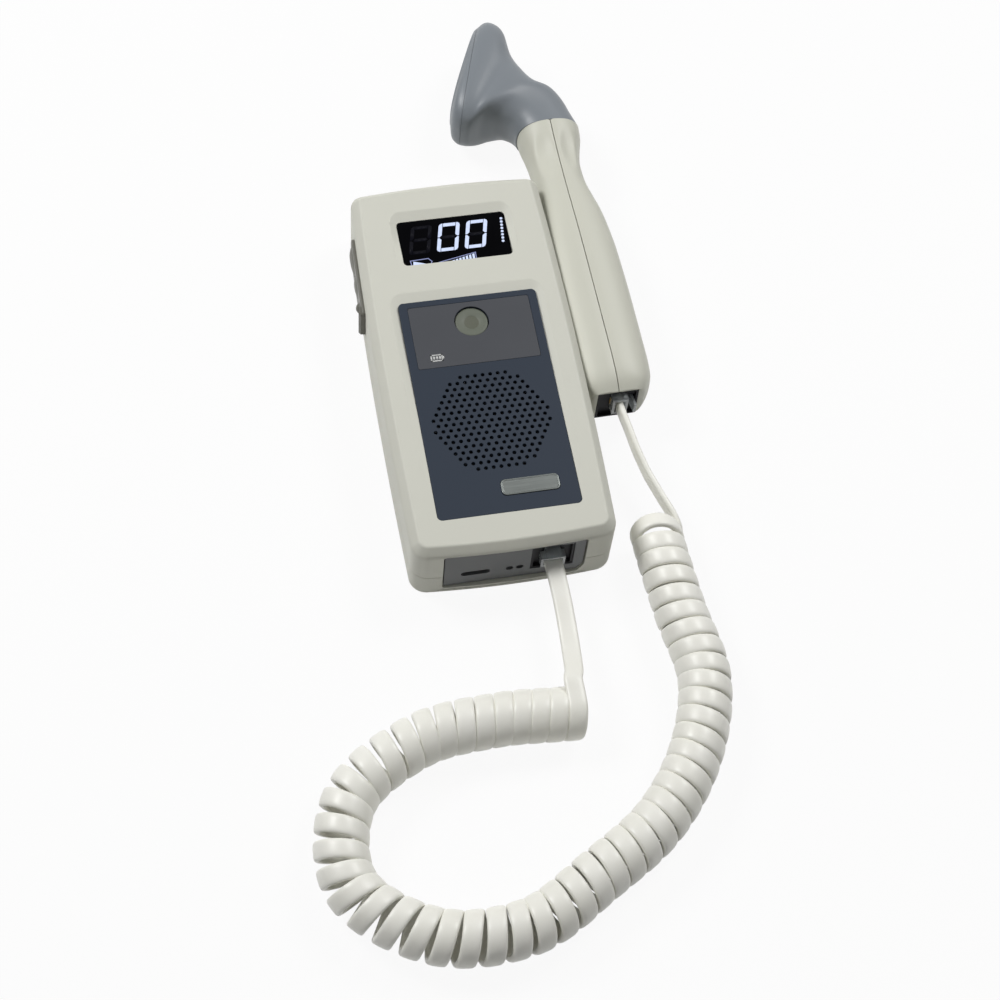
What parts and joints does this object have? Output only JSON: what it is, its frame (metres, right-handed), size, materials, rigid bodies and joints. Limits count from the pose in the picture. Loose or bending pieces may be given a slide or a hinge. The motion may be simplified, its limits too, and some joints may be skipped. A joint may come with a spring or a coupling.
{
  "type": "vascular doppler",
  "caption": "Hand-held vascular doppler: ivory case with a display, speaker grille and side keys, a bent-head probe nested in its side, and a curly cord with modular plugs.",
  "frame": {"origin": "centre of the case's back face", "axes": "+X to the right, towards the probe; +Y along the case towards the display end; +Z out of the front face"},
  "size_m": [0.1674, 0.4175, 0.0333],
  "materials": {
    "case_plastic": "fine satin texture",
    "foot_plastic": "satin",
    "window": "polished",
    "inner_plastic": "satin",
    "slate_plastic": "fine matt texture",
    "label": "printed film",
    "badge_metal": "satin, bare",
    "key_plastic": "satin",
    "key_rubber": "matt",
    "black_plastic": "satin",
    "steel": "zinc plated",
    "magnet": "matt",
    "speaker_fabric": "pressed cone",
    "board": "solder mask",
    "cell_sleeve": "shrink sleeve",
    "contact_gold": "gold plated",
    "probe_plastic": "fine satin texture",
    "head_plastic": "satin",
    "backing_rubber": "cast",
    "clear_plastic": "clear, moulded",
    "cord_rubber": "smooth jacket"
  },
  "bodies": {
    "case": {"front_case": "case_plastic", "rear_case": "case_plastic", "end_panel": "foot_plastic", "display_window": "window", "display_module": "inner_plastic", "speaker_panel": "slate_plastic", "label_plate": "label", "badge_plate": "badge_metal", "power_switch": "black_plastic", "speaker_frame": "steel", "speaker_magnet": "magnet", "speaker_cone": "speaker_fabric", "key_bezel": "key_plastic", "key_switches": "black_plastic", "main_board": "board", "board_chips": "black_plastic", "board_screws": "steel", "case_screws": "steel", "battery_cells": "cell_sleeve", "battery_contacts": "steel", "charge_socket": "black_plastic", "charge_pins": "contact_gold", "base_jack": "black_plastic", "base_jack_wires": "contact_gold", "probe_cradle": "case_plastic", "cradle_screws": "steel", "base_plug": "clear_plastic", "base_plug_blades": "contact_gold", "cord_tail_base": "cord_rubber", "curly_cord": "cord_rubber", "cord_tail_probe": "cord_rubber"},
    "power_key": {"power_button": "key_plastic"},
    "volume_up": {"volume_up_key": "key_rubber"},
    "volume_down": {"volume_down_key": "key_rubber"},
    "print": {"print_key": "key_rubber"},
    "door": {"battery_door": "case_plastic"},
    "probe": {"handle_inner_half": "probe_plastic", "handle_outer_half": "probe_plastic", "probe_head": "head_plastic", "face_cap": "head_plastic", "transmit_crystal": "contact_gold", "receive_crystal": "contact_gold", "crystal_backing": "backing_rubber", "probe_board": "board", "probe_jack": "black_plastic", "probe_jack_wires": "contact_gold", "probe_plug": "clear_plastic", "probe_plug_blades": "contact_gold", "probe_cord_end": "cord_rubber"}
  },
  "joints": [
    {"name": "power_press", "type": "slide", "parent": "case", "child": "power_key", "axis": [0, 0, -1], "range_m": [0, 0.0008], "stiffness_N_per_m": 1500},
    {"name": "volume_up_press", "type": "slide", "parent": "case", "child": "volume_up", "axis": [1, 0, 0], "range_m": [0, 0.0007], "stiffness_N_per_m": 1500},
    {"name": "volume_down_press", "type": "slide", "parent": "case", "child": "volume_down", "axis": [1, 0, 0], "range_m": [0, 0.0007], "stiffness_N_per_m": 1500},
    {"name": "print_press", "type": "slide", "parent": "case", "child": "print", "axis": [1, 0, 0], "range_m": [0, 0.0007], "stiffness_N_per_m": 1500},
    {"name": "door_slide", "type": "slide", "parent": "case", "child": "door", "axis": [0, -1, 0], "range_m": [0, 0.045]},
    {"name": "probe_lift", "type": "slide", "parent": "case", "child": "probe", "axis": [1, 0, 0], "range_m": [0, 0.045]}
  ]
}
